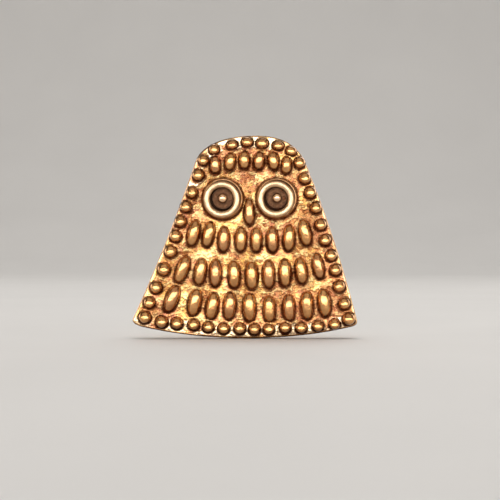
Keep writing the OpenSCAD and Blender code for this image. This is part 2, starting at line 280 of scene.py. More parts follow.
# ------------------------------ material helpers
class Shader:
    """A few short calls for building a node material on a Principled shader."""

    MIX_INPUTS = (0, 6, 7)       # the Mix node's factor and its two colours
    MIX_RESULT = 2               # its colour output

    def __init__(self, name, **sockets):
        self.material = bpy.data.materials.new(name)
        self.material.use_nodes = True
        self.tree = self.material.node_tree
        self.main = self.tree.nodes["Principled BSDF"]
        self.place = self.tree.nodes.new("ShaderNodeTexCoord").outputs["Object"]
        for socket, value in sockets.items():
            self.main.inputs[socket.replace("_", " ")].default_value = value

    def node(self, kind, **values):
        made = self.tree.nodes.new(kind)
        for key, value in values.items():
            setattr(made, key, value)
        return made

    def link(self, source, target):
        self.tree.links.new(source, target)

    def noise(self, size_mm, detail=3, rough=0.5, distortion=0.0):
        made = self.node("ShaderNodeTexNoise")
        made.inputs["Scale"].default_value = 1 / (size_mm * MM)
        made.inputs["Detail"].default_value = detail
        made.inputs["Roughness"].default_value = rough
        made.inputs["Distortion"].default_value = distortion
        self.link(self.place, made.inputs["Vector"])
        return made.outputs["Fac"]

    def cells(self, size_mm):
        """Distance to the middle of the nearest cell."""
        made = self.node("ShaderNodeTexVoronoi", feature="F1")
        made.inputs["Scale"].default_value = 1 / (size_mm * MM)
        self.link(self.place, made.inputs["Vector"])
        return made.outputs["Distance"]

    def scratches(self, stretch, size_mm):
        """Fine lines along the axis whose share of the stretch is smallest."""
        mapped = self.node("ShaderNodeMapping")
        mapped.inputs["Scale"].default_value = stretch
        self.link(self.place, mapped.inputs["Vector"])
        made = self.node("ShaderNodeTexNoise")
        made.inputs["Scale"].default_value = 1 / (size_mm * MM)
        made.inputs["Detail"].default_value = 3
        self.link(mapped.outputs["Vector"], made.inputs["Vector"])
        return made.outputs["Fac"]

    def mark(self, name):
        """A number that the mesh carries at each vertex."""
        return self.node("ShaderNodeAttribute", attribute_name=name).outputs["Fac"]

    def span(self, source, from_low, from_high, to_low=0.0, to_high=1.0):
        """The source's range stretched to another range, and cut off at its ends."""
        made = self.node("ShaderNodeMapRange", clamp=True)
        for socket, value in (("From Min", from_low), ("From Max", from_high),
                              ("To Min", to_low), ("To Max", to_high)):
            made.inputs[socket].default_value = value
        self.link(source, made.inputs["Value"])
        return made.outputs["Result"]

    def maths(self, how, a, b):
        made = self.node("ShaderNodeMath", operation=how)
        for socket, value in zip(made.inputs, (a, b)):
            if isinstance(value, (int, float)):
                socket.default_value = value
            else:
                self.link(value, socket)
        return made.outputs[0]

    def times(self, a, b):
        return self.maths("MULTIPLY", a, b)

    def blend(self, amount, first, second):
        """Number sockets mixed by a socket from 0 to 1."""
        kept = self.times(first, self.maths("SUBTRACT", 1.0, amount))
        return self.maths("ADD", kept, self.times(second, amount))

    def mix(self, amount, first, second):
        """Colours (tuples or sockets) mixed by an amount (number or socket)."""
        made = self.node("ShaderNodeMix", data_type="RGBA")
        for index, value in zip(self.MIX_INPUTS, (amount, first, second)):
            socket = made.inputs[index]
            if isinstance(value, tuple):
                socket.default_value = (*value, 1)
            elif isinstance(value, (int, float)):
                socket.default_value = value
            else:
                self.link(value, socket)
        return made.outputs[self.MIX_RESULT]

    def bump(self, layers):
        """layers is [(height socket, depth in mm), ...], laid on top of each other."""
        normal = None
        for height, depth in layers:
            made = self.node("ShaderNodeBump")
            made.inputs["Distance"].default_value = depth * MM
            self.link(height, made.inputs["Height"])
            if normal:
                self.link(normal, made.inputs["Normal"])
            normal = made.outputs["Normal"]
        self.link(normal, self.main.inputs["Normal"])

    def finish(self, colour, roughness):
        self.link(colour, self.main.inputs["Base Color"])
        self.link(roughness, self.main.inputs["Roughness"])
        return self.material


# ------------------------------ colours (linear)
# the plate's front, then its back
GOLD = (0.76, 0.45, 0.125)
PINK_COPPER = (0.62, 0.25, 0.150)
PALE = (0.90, 0.68, 0.31)
HIGHLIGHT_AND_SOLDER_PALE = (0.84, 0.66, 0.43)
BACK_GOLD = (0.80, 0.49, 0.23)
BACK_BROWN = (0.58, 0.29, 0.15)
BACK_FILED = (0.88, 0.64, 0.38)
# grains: each tone, then its darker patches
WARM_BRONZE = (0.71, 0.365, 0.130)
BRONZE = (0.52, 0.24, 0.080)
RED_BRONZE = (0.66, 0.32, 0.125)
DEEP_RED_BRONZE = (0.47, 0.205, 0.075)
PUPIL_BRIGHT = (0.90, 0.64, 0.42)
PUPIL_DULL = (0.74, 0.46, 0.26)
STREAK = (0.30, 0.12, 0.045)
# films and painted shade, from brown to black
BROWN_TARNISH_AND_SHADE = (0.40, 0.155, 0.070)
RUST = (0.30, 0.095, 0.035)
BLACK_PATINA_AND_SHADE = (0.070, 0.018, 0.006)
DEEP_SHADE = (0.035, 0.020, 0.014)
# eye rings and discs
WORN = (0.68, 0.50, 0.32)
WORN_BROWN = (0.66, 0.44, 0.26)
NICK = (0.30, 0.15, 0.07)
COLLAR_SHADE = (0.27, 0.115, 0.038)
CUP_BROWN = (0.060, 0.027, 0.015)
CUP_RED = (0.115, 0.056, 0.030)
CUP_TAN = (0.165, 0.092, 0.048)
# findings and solder
BRASS = (0.72, 0.52, 0.25)
BRASS_BROWN = (0.60, 0.38, 0.18)
NICKEL = (0.62, 0.60, 0.56)
NICKEL_GREY = (0.50, 0.47, 0.42)
FINDING_TARNISH = (0.16, 0.09, 0.05)
SOLDER = (0.60, 0.52, 0.38)
SOLDER_BROWN = (0.42, 0.30, 0.18)
# the room
PALE_FLOOR = (0.74, 0.73, 0.71)
ROOM_GLOW = (0.85, 0.66, 0.50)
LAMP_WARM = (1.0, 0.96, 0.90)


def plate_material():
    """Sandy cast ground: gold on the high spots, pink copper below, dark specks, dark oxide in the
    corners, and painted shade and a painted highlight.

    The marks come from the mesh: relief is the height, rough the sandy areas, solder_and_highlight the
    smooth runs of solder, painted paler as a highlight, with the painted highlight on the rim,
    tarnish_and_shade the brown film with painted shade over the right side, patina_and_shade the
    near-black oxide with painted shadow below the grains and painted shade on the wall's downward faces,
    back the filed wall and back, and flank the parts of the wall that stand upright at the sides.
    """
    s = Shader("cast_ground", Metallic=1.0)
    drift = s.span(s.noise(5.0, 3, 0.55), 0.42, 0.58)
    patchy = s.span(s.noise(0.8, 4, 0.6), 0.40, 0.62)
    base = s.mix(s.times(s.maths("ADD", drift, patchy), 0.5), GOLD, PINK_COPPER)
    base = s.mix(s.span(s.mark("relief"), -0.1, 0.8, 0.0, 0.9), base, PALE)
    # file strokes, coarse and fine, run sideways over the back, and upright along the sides of the wall
    flank = s.mark("flank")
    strokes = s.blend(flank, s.scratches((0.07, 1, 1), 0.42), s.scratches((1, 1, 0.06), 0.30))
    fine_strokes = s.blend(flank, s.scratches((0.05, 1, 1), 0.09), s.scratches((1, 1, 0.05), 0.09))
    plain = s.mix(s.span(s.noise(3.2, 4, 0.6), 0.40, 0.60), BACK_GOLD, BACK_BROWN)
    plain = s.mix(s.span(fine_strokes, 0.52, 0.70, 0.0, 0.45), plain, BACK_FILED)
    plain = s.mix(s.span(s.noise(0.9, 5, 0.7), 0.58, 0.66, 0.0, 0.50), plain, RUST)
    base = s.mix(s.mark("back"), base, plain)
    speck = s.span(s.noise(0.45, 3, 0.65), 0.38, 0.46, 1.0, 0.0)
    deep = s.span(s.mark("relief"), -1.0, -0.2, 1.0, 0.0)
    dark = s.maths("MAXIMUM", s.times(speck, 0.6), s.times(deep, 0.8))
    base = s.mix(s.times(dark, s.mark("rough")), base, RUST)
    # brown film, with painted shade over the right side
    base = s.mix(s.times(s.mark("tarnish_and_shade"), 0.72), base, BROWN_TARNISH_AND_SHADE)
    # paler solder runs, and the painted highlight on the rolled rim
    base = s.mix(s.mark("solder_and_highlight"), base, HIGHLIGHT_AND_SOLDER_PALE)
    # near-black oxide, painted shadow below the grains and painted shade on the wall's downward faces
    base = s.mix(s.mark("patina_and_shade"), base, BLACK_PATINA_AND_SHADE)
    rough = s.span(s.noise(0.3, 4, 0.6), 0.3, 0.7, 0.19, 0.36)
    rough = s.times(rough, s.span(s.mark("solder_and_highlight"), 0, 1, 1.0, 0.7))
    rough = s.times(rough, s.span(s.mark("back"), 0, 1, 1.0, 0.8))
    grit = s.times(s.noise(0.34, 3, 0.6), s.mark("rough"))
    lines = s.maths("ADD", s.times(fine_strokes, 0.3), strokes)
    lines = s.times(lines, s.mark("back"))
    lines = s.times(lines, s.span(flank, 0, 1, 1.0, 0.5))
    s.bump([(s.noise(0.7, 3, 0.5), 0.03), (grit, 0.20), (lines, 0.10)])
    return s.finish(base, rough)


def grain_material(name, tone, deep, low_rough=0.15, high_rough=0.29):
    """Melted bronze grains: polished, a little mottled, dark where they meet the ground, with painted
    shade below.
    """
    s = Shader(name, Metallic=1.0, Coat_Weight=0.6, Coat_Roughness=0.22, Coat_IOR=1.5)
    base = s.mix(s.span(s.noise(1.3, 4, 0.6, 0.3), 0.36, 0.66), tone, deep)
    streak = s.span(s.noise(0.35, 4, 0.6), 0.60, 0.76, 0.0, 0.35)
    base = s.mix(streak, base, STREAK)
    pits = s.span(s.cells(0.55), 0.05, 0.13, 1.0, 0.0)
    pits = s.times(pits, s.span(s.noise(1.1, 2), 0.54, 0.60))
    base = s.mix(s.times(pits, 0.6), base, BLACK_PATINA_AND_SHADE)
    # dark oxide at the foot, and painted shade up the lower side
    base = s.mix(s.mark("patina_and_shade"), base, BLACK_PATINA_AND_SHADE)
    rough = s.span(s.noise(0.5, 4, 0.6), 0.32, 0.68, low_rough, high_rough)
    s.bump([(s.noise(0.8, 2, 0.5), 0.03), (s.noise(0.14, 3, 0.6), 0.006), (pits, -0.03)])
    return s.finish(base, rough)


def ring_material():
    """Worn bright eye rings, with painted shade on the stepped collar and in the hollows."""
    s = Shader("eye_ring_worn", Metallic=1.0)
    base = s.mix(s.span(s.noise(0.9, 4, 0.6), 0.38, 0.62), WORN, WORN_BROWN)
    nick = s.span(s.noise(0.22, 4, 0.7), 0.60, 0.70, 0.0, 0.65)
    base = s.mix(nick, base, NICK)
    # painted shade on the collar
    base = s.mix(s.mark("patina_and_shade"), base, COLLAR_SHADE)
    # painted shade on the cup's wall, at the collar's foot and in the groove
    base = s.mix(s.mark("recess_shade"), base, DEEP_SHADE)
    rough = s.span(s.noise(0.3, 4, 0.6), 0.3, 0.7, 0.27, 0.45)
    s.bump([(s.noise(0.6, 2, 0.5), 0.05), (s.noise(0.15, 4, 0.6), 0.02)])
    return s.finish(base, rough)


def disc_material():
    """Dark sunken disc, dusty brown with lighter rubbed specks."""
    s = Shader("eye_disc_dark", Metallic=1.0)
    base = s.mix(s.span(s.noise(0.5, 5, 0.7), 0.42, 0.60), CUP_BROWN, CUP_RED)
    rubbed = s.span(s.noise(0.26, 4, 0.7), 0.50, 0.66, 0.0, 0.7)
    base = s.mix(rubbed, base, CUP_TAN)
    # painted shade at the rim and round the ball
    base = s.mix(s.mark("patina_and_shade"), base, DEEP_SHADE)
    rough = s.span(s.noise(0.3, 4, 0.6), 0.3, 0.7, 0.38, 0.60)
    s.bump([(s.noise(0.4, 3, 0.5), 0.04), (s.noise(0.12, 4, 0.65), 0.03)])
    return s.finish(base, rough)


def finding_material(name, tone, second, rough_low, rough_high):
    """Rolled sheet and wire of the pin fittings: satin, finely scratched, tarnished in patches."""
    s = Shader(name, Metallic=1.0)
    base = s.mix(s.span(s.noise(1.1, 4, 0.6), 0.38, 0.64), tone, second)
    base = s.mix(s.span(s.noise(0.5, 5, 0.65), 0.56, 0.74, 0.0, 0.45), base, FINDING_TARNISH)
    drawn = s.scratches((0.12, 1, 1), 0.07)
    s.bump([(drawn, 0.006), (s.noise(0.5, 3), 0.01)])
    return s.finish(base, s.span(drawn, 0.3, 0.7, rough_low, rough_high))


def solder_material():
    """Greyish runs of solder with dark flux in their hollows."""
    s = Shader("solder", Metallic=1.0)
    base = s.mix(s.span(s.noise(0.8, 4, 0.6), 0.38, 0.64), SOLDER, SOLDER_BROWN)
    base = s.mix(s.span(s.noise(0.3, 4, 0.7), 0.56, 0.70, 0.0, 0.7), base, BLACK_PATINA_AND_SHADE)
    rough = s.span(s.noise(0.4, 4, 0.6), 0.3, 0.7, 0.26, 0.5)
    s.bump([(s.noise(0.35, 3), 0.03)])
    return s.finish(base, rough)


# ------------------------------ plate
def resample(points, count, steps=12):
    """count + 1 points evenly along an open smooth line through the given points."""
    p = np.vstack([2 * points[0] - points[1], points, 2 * points[-1] - points[-2]])
    fine = []
    for i in range(1, len(p) - 2):
        for t in np.linspace(0, 1, steps, endpoint=False):
            a, b, c, d = p[i - 1], p[i], p[i + 1], p[i + 2]
            fine.append(0.5 * (2 * b + (c - a) * t + (2 * a - 5 * b + 4 * c - d) * t**2
                               + (3 * b - a - 3 * c + d) * t**3))
    fine = np.array(fine + [points[-1]])
    length = np.r_[0, np.cumsum(np.linalg.norm(np.diff(fine, axis=0), axis=1))]
    want = np.linspace(0, length[-1], count + 1)
    return np.stack([np.interp(want, length, fine[:, k]) for k in (0, 1)], axis=1)


def outline_sides(across, up):
    """The outline split at its four corners: foot, right, head and left, each an open line."""
    o = OUTLINE
    corners = [np.argmax(o @ np.array(d)) for d in ((-1, -1), (1, -1), (1, 1), (-1, 1))]
    sides = []
    for k, count in enumerate((across, up, across, up)):
        a, b = corners[k], corners[(k + 1) % 4]
        index = np.arange(a, b + 1) if b > a else np.r_[a:len(o), 0:b + 1]
        sides.append(resample(o[index], count))
    return sides


def loop_normals(loop):
    """Outward unit normals of a closed loop."""
    along = np.roll(loop, -1, axis=0) - np.roll(loop, 1, axis=0)
    along /= np.linalg.norm(along, axis=1)[:, None]
    return np.stack([along[:, 1], -along[:, 0]], axis=1)


def coons(loop, across, up):
    """A grid of (up + 1, across + 1) points that fills a closed loop of 2 * (across + up) points."""
    foot = loop[:across + 1]
    right = loop[across:across + up + 1]
    head = loop[across + up:2 * across + up + 1][::-1]
    left = np.vstack([loop[2 * across + up:], loop[:1]])[::-1]
    u = np.linspace(0, 1, across + 1)[None, :, None]
    v = np.linspace(0, 1, up + 1)[:, None, None]
    flat = (1 - v) * foot[None] + v * head[None] + (1 - u) * left[:, None] + u * right[:, None]
    corner = ((1 - u) * (1 - v) * foot[0] + u * (1 - v) * foot[-1]
              + (1 - u) * v * head[0] + u * v * head[-1])
    return flat - corner


def footprint_distance(xz, seat):
    """Distance in mm from each point to the edge of a grain's footprint, negative inside."""
    dx, dz = xz[:, 0] - seat["x"], xz[:, 1] - seat["z"]
    c, s = math.cos(seat["lean"]), math.sin(seat["lean"])
    u, v = dx * c - dz * s, dx * s + dz * c
    a, b = seat["half_w"], seat["half_l"]
    q = np.sqrt((u / a) ** 2 + (v / b) ** 2) + 1e-9
    slope = np.sqrt((u / a**2) ** 2 + (v / b**2) ** 2) / q + 1e-9
    return (q - 1) / slope


def nearest_footprint(xz):
    """Distance to the nearest grain or eye, and how far below its middle each point is, from -1 to 1."""
    seats = [*ovals.values(), *(seat for row in rounds.values() for seat in row), *eyes.values()]
    best, below = np.full(len(xz), np.inf), np.zeros(len(xz))
    for seat in seats:
        gap = footprint_distance(xz, seat)
        below = np.where(gap < best, (seat["z"] - xz[:, 1]) / seat["half_l"], below)
        best = np.minimum(best, gap)
    return best, np.clip(below, -1, 1)


def edge_distance(xz, loop, parts=12):
    """Distance to the plate's edge, from every third point of it, worked out in parts to save room."""
    best = np.full(len(xz), np.inf)
    for part in np.array_split(loop[::3], parts):
        d = np.linalg.norm(xz[:, None] - part[None], axis=2).min(axis=1)
        best = np.minimum(best, d)
    return best


def cast_skin(xz, p):
    """Fine relief: hammered lumps, sandy grains, and wrinkles that run mostly sideways."""
    warp = np.stack([lattice_noise(p, 0.9, SEED + 50), lattice_noise(p, 0.9, SEED + 60)], axis=1)
    bent = (xz + 0.16 * warp) * (0.78, 1.2)
    bent3 = np.c_[bent, np.zeros(len(xz))]
    lump = layered_noise(bent3, 1.0, 3, SEED + 1)
    crinkle = 0.5 - 2.2 * np.abs(layered_noise(bent3, 0.75, 2, SEED + 2, 0.6))
    sand = 0.45 - pebbles(bent, PEBBLE, SEED + 3) ** 1.5
    return RELIEF_LUMP * lump + RELIEF_PEBBLE * sand + RELIEF_CRINKLE * crinkle


def solder_runs_and_highlight(xz, p, edge, foot):
    """Smooth runs of solder between the edge grains, painted paler as a highlight, and a painted highlight
    on the rim, apart from the foot's.

    The runs lie mostly along the foot and by the left of the head.
    """
    along_foot = fade_out(-16.5, -14.0, xz[:, 1])
    by_head = smooth_step(13.0, 15.5, xz[:, 1] - 0.5 * xz[:, 0])
    zone = fade_out(1.5, 4.0, edge) * (0.35 + 0.65 * np.maximum(along_foot, by_head))
    runs = smooth_step(0.48, 0.62, zone * (0.75 + 0.75 * layered_noise(p, 1.6, 3, SEED + 6)))
    runs = runs * smooth_step(0.05, 0.25, foot)
    # painted highlight along the rim, left off along the foot
    rim = 0.7 * fade_out(0.15, 0.45, edge) * smooth_step(-17.5, -15.5, xz[:, 1])
    return np.maximum(0.8 * runs, rim)


def brown_film_and_shade(xz, p, foot):
    """Tarnish in broad patches, darker close round the grains, and painted shade deepening over the right
    side.
    """
    near = np.exp(-np.clip(foot - 0.2, 0, None) / 0.45)
    tarnish_and_shade = near * (0.55 + 0.6 * layered_noise(p, 1.3, 3, SEED + 7))
    tarnish_and_shade = tarnish_and_shade + 0.35 * smooth_step(0.1, 0.5, layered_noise(p, 3.4, 3, SEED + 8))
    # painted shade, growing towards the right side
    rightwards = xz[:, 0] - 0.25 * xz[:, 1] + 5.0 * layered_noise(p, 7.0, 2, SEED + 9)
    return np.clip(tarnish_and_shade + 0.45 * smooth_step(2.0, 19.0, rightwards), 0, 1)


def dark_film_and_shadow(p, foot, below, solder_and_highlight):
    """Patina in the corners round the grains, and painted shadow that widens it below each grain."""
    ragged = 0.5 + 0.9 * layered_noise(p, 0.7, 3, SEED + 4)
    # painted shadow: the dark band reaches further on the side below each grain
    reach = 0.15 + 0.11 * below + 0.17 * np.clip(ragged, 0, 1)
    patina_and_shade = np.exp(-(np.clip(foot - 0.13 - 0.16 * below, 0, None) / reach) ** 1.8)
    stain = smooth_step(0.05, 0.45, layered_noise(p, 2.4, 3, SEED + 5))
    stain = stain * np.exp(-np.clip(foot, 0, None) / 0.7)
    return np.clip(0.95 * patina_and_shade + 0.6 * stain * (1 - solder_and_highlight), 0, 1)


def front(xz, loop):
    """The face's y and marks at each point: relief, solder round grains, films, painted shade and
    highlight.
    """
    p = np.c_[xz, np.zeros(len(xz))]
    edge = edge_distance(xz, loop)
    foot, below = nearest_footprint(xz)
    keep = smooth_step(0.30, RIM_WIDTH + 0.30, edge + 0.25 * layered_noise(p, 2.0, 2, SEED + 40))
    crisp = 0.40 + 0.60 * smooth_step(-0.10, 0.25, layered_noise(p, 4.0, 2, SEED + 70) + 0.18)
    fine = cast_skin(xz, p)
    solder_and_highlight = solder_runs_and_highlight(xz, p, edge, foot)
    fillet = FILLET_HEIGHT * np.exp(-(np.clip(foot, 0, None) / FILLET_WIDTH) ** 1.5)
    moat = -MOAT_DEPTH * np.exp(-((foot - MOAT_AT) / MOAT_WIDTH) ** 2)
    height = RELIEF_BROAD * layered_noise(p, 5.5, 2, SEED) + fillet + keep * moat
    height = height + keep * crisp * fine * (1 - 0.85 * solder_and_highlight)
    marks = {"patina_and_shade": dark_film_and_shadow(p, foot, below, solder_and_highlight),
             "relief": keep * (fine - fine.mean()) / (2 * fine.std()) * (1 - solder_and_highlight),
             "rough": keep * crisp * (1 - solder_and_highlight),
             "solder_and_highlight": solder_and_highlight,
             "tarnish_and_shade": brown_film_and_shade(xz, p, foot) * (1 - solder_and_highlight),
             "back": np.zeros(len(xz)),
             "flank": np.zeros(len(xz))}
    return FACE_Y - height, marks


def back(xz, loop):
    """The back's y, and its marks: filed flat, and browned at its edge and round the soldered feet."""
    p = np.c_[xz, np.full(len(xz), 9.0)]             # a slice of the noise that is its own
    edge = edge_distance(xz, loop)
    hollow = 0.06 * (layered_noise(p, 5.0, 2, SEED + 90) - 1)
    hollow = hollow + 0.015 * (layered_noise(p, 0.8, 3, SEED + 91) - 1)
    stain = 0.5 * smooth_step(0.1, 0.7, layered_noise(p, 3.5, 3, SEED + 93))
    feet = np.full(len(xz), np.inf)
    for node in ("hinge_bracket", "catch_tube"):
        low, high = (corner[[0, 2]] for corner in node_box(node))
        feet = np.minimum(feet, np.maximum(low - xz, xz - high).max(axis=1))
    # the torch left a dark halo of scale round each soldered foot
    halo = fade_out(0.3, 2.6, feet + 0.9 * layered_noise(p, 1.8, 3, SEED + 94))
    brown = fade_out(0.2, 1.6, edge + 0.5 * layered_noise(p, 1.6, 3, SEED + 95))
    marks = {"patina_and_shade": np.clip(0.55 * stain + 0.45 * halo, 0, 1),
             "relief": 0.4 * layered_noise(p, 1.2, 3, SEED + 92),
             "rough": np.full(len(xz), 0.12),
             "solder_and_highlight": np.zeros(len(xz)),
             "tarnish_and_shade": np.clip(stain + 0.6 * brown + 0.5 * halo, 0, 1),
             "back": np.ones(len(xz)),
             "flank": np.zeros(len(xz))}
    return hollow * smooth_step(0.3, 2.0, edge), marks


def plate_wall(loop, normal):
    """Rings of points from the filed back edge to the rolled front edge, their marks, and their number."""
    count = len(loop)
    wander = layered_noise(np.c_[loop, np.zeros(count)], 3.0, 3, SEED + 80)

    def ring(inset, y, wear=0.02):
        pull = inset + wear * (1 + wander)
        x, z = (loop - pull[:, None] * normal).T
        return np.c_[x, np.full(count, y), z]

    rings = [ring(inset, y) for inset, y in BACK_EDGE]
    heights = np.linspace(BACK_EDGE[-1][1], FACE_Y + ROUND_EDGE, WALL_STEPS)[1:]
    rings += [ring(0.015, y, 0.03) for y in heights]
    for step in range(1, ROLL_STEPS + 1):
        turn = math.pi / 2 * step / ROLL_STEPS
        rings.append(ring(ROUND_EDGE * (1 - math.cos(turn)), FACE_Y + ROUND_EDGE * (1 - math.sin(turn))))
    verts = np.vstack(rings)
    out_x, out_z = np.tile(normal, (len(rings), 1)).T
    dents = layered_noise(verts, 0.9, 3, SEED + 81)
    wall = (verts[:, 1] < -0.1) & (verts[:, 1] > FACE_Y + 0.1)
    shift = np.where(wall, WALL_DENT * (dents - 1), 0)
    verts[:, 0] += shift * out_x
    verts[:, 2] += shift * out_z
    # painted shade on the wall's downward faces along the foot, a little darker towards the back,
    # and a painted highlight on the rolled front edge except along the foot
    below = smooth_step(0.35, 0.85, -out_z)
    depth = smooth_step(FACE_Y + 0.02, FACE_Y + 0.30, verts[:, 1] + 0.1 * dents)
    roll = smooth_step(FACE_Y + 0.01, FACE_Y + 0.10, verts[:, 1] + 0.05 * dents)
    marks = {"relief": 0.3 * dents,
             "rough": np.full(len(verts), 0.05),
             "solder_and_highlight": 0.5 * (1 - depth) * (1 - below),
             "flank": smooth_step(0.4, 0.8, np.abs(out_x)),
             "tarnish_and_shade": np.full(len(verts), 0.3),
             "back": 0.8 * depth,
             "patina_and_shade": np.clip(np.maximum(depth * (0.2 + 0.2 * dents), 0.95 * roll * below), 0, 1)}
    return verts, marks, len(rings)


class GrowingMesh:
    """Vertices with their marks, and blocks of faces, that are added patch by patch."""

    def __init__(self, verts, marks, faces):
        self.verts = verts
        self.marks = marks
        self.faces = [faces]

    def add(self, xz, surface):
        """Adds points where surface puts them, and gives the number of the first."""
        start = len(self.verts)
        y, marks = surface(xz)
        self.verts = np.vstack([self.verts, np.c_[xz[:, 0], y, xz[:, 1]]])
        for key in self.marks:
            self.marks[key] = np.r_[self.marks[key], marks[key]]
        return start

    def patch(self, border, wide, high, surface):
        """Fills a closed run of 2 * (wide + high) vertices with a grid of quads."""
        around = len(border)
        index = np.full((high + 1, wide + 1), -1)
        index[0, :] = border[np.arange(wide + 1)]
        index[:, wide] = border[wide + np.arange(high + 1)]
        index[high, :] = border[(2 * wide + high - np.arange(wide + 1)) % around]
        index[:, 0] = border[(-np.arange(high + 1)) % around]
        inner = index < 0
        grid = coons(self.verts[border][:, [0, 2]], wide, high).reshape(-1, 2)
        index[inner] = self.add(grid[inner.reshape(-1)], surface) + np.arange(inner.sum())
        quads = np.stack([index[:-1, :-1], index[:-1, 1:], index[1:, 1:], index[1:, :-1]], axis=-1)
        self.faces.append(quads.reshape(-1, 4))


def build_plate():
    across, up = FRONT_GRID
    loop = np.vstack([side[:-1] for side in outline_sides(across, up)])
    normal = loop_normals(loop)
    count = len(loop)
    verts, marks, rings = plate_wall(loop, normal)
    plate = GrowingMesh(verts, marks, grid_faces(rings, count))
    border = (rings - 1) * count + np.arange(count)
    plate.patch(border, across, up, lambda xz: front(xz, loop))
    # the rolled edge takes the face's slow swells, so that the two meet
    y, marks = front(plate.verts[border][:, [0, 2]], loop)
    plate.verts[border, 1] -= FACE_Y - y
    plate.verts[border - count, 1] -= 0.6 * (FACE_Y - y)
    for key in plate.marks:
        plate.marks[key][border] = marks[key]
    # the back needs half the detail: its border joins every second vertex of the edge
    inset = (loop - BACK_INSET * normal)[::2]
    inner = plate.add(inset, lambda xz: back(xz, loop)) + np.arange(count // 2)
    plate.patch(inner, across // 2, up // 2, lambda xz: back(xz, loop))
    even, odd = np.arange(count)[::2], np.arange(count)[1::2]
    after, following = np.roll(inner, -1), np.roll(even, -1)
    for corners in ((even, odd, inner), (odd, after, inner), (odd, following, after)):
        plate.faces.append(np.stack(corners, axis=1))
    faces = [face for block in plate.faces for face in block]
    make_piece("plate_cast", plate.verts, faces, plate_material(), ["base_plate"], plate.marks)


# ------------------------------ grains
EDGE_GRAIN = {"around": 44, "rings": 18, "boxy": 2.5, "plan": 2.15, "uneven": 0.03, "egg": 0.04,
              "sag": 0.16}
PUPIL = {"around": 48, "rings": 24, "boxy": 2.15, "plan": 2.0, "uneven": 0.03, "egg": 0.03, "lift": 0.45}


def dome(seat, seed, around=56, rings=22, boxy=2.3, plan=2.35, uneven=0.035, egg=0.12, lift=None,
         sag=0.0):
    """One melted grain: an uneven dome on its footprint, with a thin skirt of solder at its foot.

    boxy and plan are how blunt it is from the side and from above, egg how much one end may be wider, and
    lift how high its widest level is. sag lets its top hang towards the owl's foot.
    """
    rng = np.random.RandomState(seed)
    a, b, top = seat["half_w"], seat["half_l"], seat["top"]
    lift = 0.12 * a if lift is None else lift
    rise = (top - lift) * 0.985
    low = math.acos(-min(0.85, (lift + SINK) / rise))
    plan = plan + rng.uniform(-0.12, 0.12)
    phi = np.linspace(0, low, rings + 1)[1:]
    theta = np.linspace(0, 2 * math.pi, around, endpoint=False)
    pp, tt = np.meshgrid(phi, theta, indexing="ij")
    radial, up = np.sin(pp), np.cos(pp)
    scale = (np.abs(radial) ** boxy + np.abs(up) ** boxy) ** (-1 / boxy)
    blunt = (np.abs(np.cos(tt)) ** plan + np.abs(np.sin(tt)) ** plan) ** (-1 / plan)
    u = radial * scale * blunt * np.cos(tt) * a
    v = radial * scale * blunt * np.sin(tt) * b
    h = up * scale * rise + lift
    u = np.r_[0.0, u.ravel()]
    v = np.r_[0.0, v.ravel()]
    h = np.r_[rise + lift, h.ravel()]
    skew, tip = rng.uniform(-0.3 * egg, egg), rng.uniform(-0.05, 0.05)
    u = u * (1 + skew * v / b) + tip * a * (v / b) ** 2
    # each grain has its own place in the noise
    at = np.stack([u, v, h], axis=1) + 40.0 * (seed % 97)
    body = np.stack([u / a**2, v / b**2, (h - lift) / rise**2], axis=1)
    body /= np.linalg.norm(body, axis=1)[:, None]
    swell = uneven * a * (layered_noise(at, 1.5, 2, SEED + 11) - 0.35)
    swell = swell + 0.010 * layered_noise(at, 0.45, 2, SEED + 12)
    u, v, h = u + swell * body[:, 0], v + swell * body[:, 1], h + swell * body[:, 2]
    for _ in range(rng.randint(0, 3)):
        du, dv = rng.uniform(-0.6, 0.6) * a, rng.uniform(-0.7, 0.7) * b
        size = rng.uniform(0.14, 0.26)
        h = h - rng.uniform(0.02, 0.05) * np.exp(-((u - du) ** 2 + (v - dv) ** 2) / size**2)
    # the skirt flares out over the ground where the grain was soldered
    reach = fade_out(-0.06, 0.24, h) * SKIRT
    long = np.hypot(u / a, v / b) + 1e-9
    u, v = u * (1 + reach / a / long), v * (1 + reach / b / long)
    c, s = math.cos(seat["lean"]), math.sin(seat["lean"])
    hang = sag * np.clip(h, 0, None) * fade_out(0.5, 1.0, long)
    x, z = seat["x"] + u * c + v * s, seat["z"] - u * s + v * c - hang
    verts = np.stack([x, FACE_Y - h, z], axis=1)
    fan = [(0, 1 + (j + 1) % around, 1 + j) for j in range(around)]
    walls = [tuple(face) for face in grid_faces(rings, around, 1)]
    base = [tuple(1 + (rings - 1) * around + j for j in range(around))]
    # dark oxide at each grain's foot, and painted shade that climbs higher up its lower side
    ragged = layered_noise(at, 0.5, 2, SEED + 13)
    low_side = (seat["z"] - z) / b
    underside_shade = smooth_step(0.25, 1.0, low_side) * smooth_step(0.5, 0.95, np.hypot(u / a, v / b))
    patina_and_shade = fade_out(0.14, 0.38 + 0.19 * low_side + 0.12 * ragged + 0.90 * underside_shade, h)
    return verts, fan + walls + base, patina_and_shade


